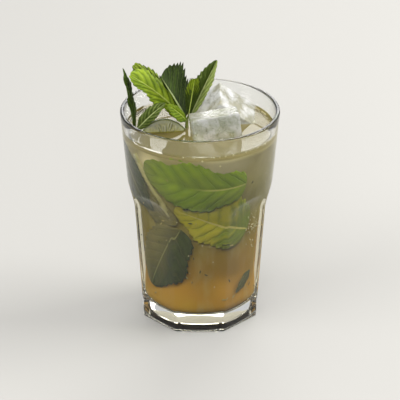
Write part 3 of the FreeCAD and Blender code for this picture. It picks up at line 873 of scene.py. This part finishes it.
# What is sunk in the drink, against the glass.
SUNK = {
    "sunk_leaf_front": dict(
        tone="front", seed=41, stalk=(40, 92.5), tip=(-50, 101), upper=15.5, lower=15, bend=-3.5,
        fullness=0.36, depths=(1.1, 0.9, 1.2), veils=(0.1, 0.0, 0.6)),
    "sunk_leaf_behind": dict(
        tone="behind", seed=42, stalk=(53, 60), tip=(-23, 79), upper=20, lower=15, bend=-1.0, fullness=0.42,
        depths=(2.3, 2.7, 2.6), veils=(0.05, 0.05, 0.3), sides=(0.0, 0.15), shades=(0.9, -0.5)),
    "sunk_leaf_left": dict(
        tone="dark", seed=43, stalk=(-92, 110), tip=(-47, 73), upper=11, lower=14,
        depths=(0.8, 0.9, 0.9), veils=(0.0, 0.0, 0.1)),
    "sunk_leaf_low": dict(
        tone="dark", seed=44, stalk=(-20, 65), tip=(-62, 23), upper=16, lower=15, fullness=0.5,
        depths=(1.2, 1.2, 1.2), veils=(0.3, 0.3, 0.2), sides=(0.55, -0.4)),
    "sunk_leaf_faint": dict(
        tone="dark", seed=46, stalk=(-24, 68), tip=(-68, 82), upper=9, lower=10,
        depths=(2.0, 2.0, 2.0), veils=(0.75, 0.8, 0.85)),
    "sunk_leaf_scrap": dict(
        tone="dark", seed=45, stalk=(62, 32), tip=(40, 21), upper=3, lower=3.5,
        depths=(1.0, 1.0, 1.0), veils=(0.2, 0.3, 0.5)),
    "sunk_leaf_back_right": dict(
        tone="front", seed=47, stalk=(112, 92), tip=(165, 66), upper=14, lower=12, bend=2.0,
        depths=(1.1, 1.0, 1.2), veils=(0.0, 0.1, 0.5)),
    "sunk_leaf_back_high": dict(
        tone="behind", seed=48, stalk=(-166, 104), tip=(-118, 88), upper=10, lower=13, bend=-2.0,
        depths=(1.2, 1.2, 1.3), veils=(0.2, 0.1, 0.4)),
    "sunk_leaf_back_low": dict(
        tone="dark", seed=49, stalk=(-168, 55), tip=(-120, 34), upper=12, lower=14, fullness=0.5,
        depths=(1.2, 1.3, 1.5), veils=(0.1, 0.3, 0.5), sides=(0.3, 0.0)),
}
SUNK_GREENS = {
    "front": mint_blade("mint leaf, sunk near the glass", "#8AA60A", "#6E8C06", "#8AA60A", "#86A020",
                        "#C3C86A", veil="#84864A", thick_rib=0.05, drawn=0.25, rib_end=0.5),
    "behind": mint_blade("mint leaf, sunk deeper", "#C6C222", "#74880E", "#C6C222", "#A2A030", "#D6D07A",
                         veil="#A08A30", thick_rib=0.05, drawn=0.2),
    "dark": mint_blade("mint leaf, sunk and old", "#33420C", "#1C2804", "#33420C", "#5A6230", "#8C8E5C",
                       veil="#837C48", thick_rib=0.03, drawn=0.35),
}
for name, given in SUNK.items():
    tone = given.pop("tone")
    # shades is painted shade at the stalk and at the tip, below nought painted light.
    at_stalk, at_tip = given.pop("shades", (0.0, 0.0))
    skin, uv, veil = wall_leaf(**given)
    add_piece(name, skin, SUNK_GREENS[tone], uv=uv,
              attributes={"under": 0 * veil, "veil": veil,
                          "shaded": at_stalk + (at_tip - at_stalk) * smooth_step(0.15, 0.5, uv[:, 0])})

# Blotches are about 3 mm across on the stalk and 2.5 mm on the pulp.
bleached = soaked("mint stalk, bruised and soaked", 300.0, ((0.35, "#A3A06A"), (0.7, "#CBC594")), 0.6)
pulp = soaked("lime pulp, adrift", 400.0, ((0.4, "#A8985A"), (0.65, "#C4B87C")), 0.5)
loose = tube(((-33.0, -19.0, 106.0), (-27.5, -24.0, 94.0), (-21.5, -27.5, 84.0), (-14.5, -28.5, 73.0)),
             (2.4, 1.8, 1.5, 0.9))
add_piece("sunk_stalk", loose, bleached)
# A cluster at the right, a scatter all round, and two large ones under the surface, put where painted glints
# show.
BRIGHT_BUBBLES = ((1.2, -39.2, 110.4), (10.4, -37.6, 107.0))
rng = np.random.default_rng(77)
angles = np.radians(np.concatenate([rng.normal(61, 5, 46), rng.uniform(-180, 180, 70)]))
heights = np.concatenate([rng.normal(60, 6, 46), rng.uniform(20, 108, 70)])
radii = np.concatenate([rng.uniform(0.18, 0.5, 46), rng.uniform(0.12, 0.35, 70)])
reach = inner_radius(heights) - radii - rng.uniform(0.3, 1.2, len(radii))
centres = np.stack([reach * np.sin(angles), -reach * np.cos(angles), heights], -1)
ring_turns, ring_radii = rng.uniform(-math.pi, math.pi, 40), rng.uniform(0.25, 0.5, 40)
ring_reach = float(inner_radius(LEVEL)) - ring_radii
ring = np.stack([ring_reach * np.sin(ring_turns), -ring_reach * np.cos(ring_turns),
                 LEVEL + 0.6 + 0 * ring_turns], -1)
centres = np.concatenate([centres, BRIGHT_BUBBLES, ring])
radii = np.concatenate([radii, (0.6, 0.8), ring_radii])
# The beads are pale and opaque: partly the whiteness of bubbles in a cloudy drink, partly painted glint in
# place of the light that clear bubbles catch.
beads_with_painted_glint = opaque(*new_material("soda bubbles, with painted glint"), {
    "Base Color": linear("#E6E0BE"), "Roughness": 0.15, "IOR": 1.33,
})
add_piece("bubbles", beads(centres, radii), beads_with_painted_glint)

# Crushed mint and lime pulp adrift all round, most of it low down.
adrift = np.random.default_rng(78)
for name, count, material, slot in (
    ("mint_scraps", 34, SUNK_GREENS["dark"], "mint_leaf"), ("lime_pulp", 44, pulp, "lime"),
):
    turns = adrift.uniform(-math.pi, math.pi, count)
    heights = 18 + 88 * adrift.uniform(0, 1, count) ** 1.4
    skin = flecks(turns, heights, adrift.uniform(0.5, 1.0, count), adrift.uniform(1.2, 3.0, count),
                  adrift.uniform(0, math.pi, count))
    add_piece(name, skin, material)

# ---------------------------------------------------------------- the studio

floor_mesh = bpy.data.meshes.new("floor")
floor_mesh.from_pydata([(-3, -3, 0), (3, -3, 0), (3, 3, 0), (-3, 3, 0)], [], [(0, 1, 2, 3)])
floor_mesh.materials.append(opaque(*new_material("studio paper"), {
    "Base Color": linear("#B0AEA9"), "Roughness": 0.85, "Specular IOR Level": 0.2,
}))
floor = bpy.data.objects.new("floor", floor_mesh)
bpy.context.scene.collection.objects.link(floor)

LIGHTS = (
    ("light_left", (-1.0, -0.45, 0.75), 0.9, 9.0),
    ("light_right", (0.95, 0.15, 0.8), 0.7, 12.5),
    ("light_front", (-0.1, -1.2, 0.9), 0.9, 12.0),
    ("light_back", (0.2, 1.2, 0.9), 1.0, 12.0),
)
for name, place, size, power in LIGHTS:
    lamp = bpy.data.lights.new(name, "AREA")
    lamp.size, lamp.energy = size, power
    holder = bpy.data.objects.new(name, lamp)
    holder.location = place
    away = np.array(place) - (0, 0, 0.07)
    holder.rotation_euler = (math.acos(unit(away)[2]), 0, math.atan2(away[0], -away[1]))
    bpy.context.scene.collection.objects.link(holder)

world = bpy.data.worlds.new("studio")
world.use_nodes = True
world.node_tree.nodes["Background"].inputs[0].default_value = linear("#E9EAEC")
world.node_tree.nodes["Background"].inputs[1].default_value = 0.74
bpy.context.scene.world = world

camera = bpy.data.objects.new("camera", bpy.data.cameras.new("camera"))
camera.data.lens, camera.data.sensor_width = 180.66, 36.0
camera.location = (0.0, -1.0081, 0.5678)
camera.rotation_euler = (math.radians(63.6), 0, 0)
bpy.context.scene.collection.objects.link(camera)
bpy.context.scene.camera = camera

scene = bpy.context.scene
scene.view_settings.view_transform = "Standard"
scene.cycles.max_bounces = 24
scene.cycles.transmission_bounces = 20
scene.cycles.transparent_max_bounces = 24
scene.cycles.caustics_refractive = False
scene.cycles.caustics_reflective = False
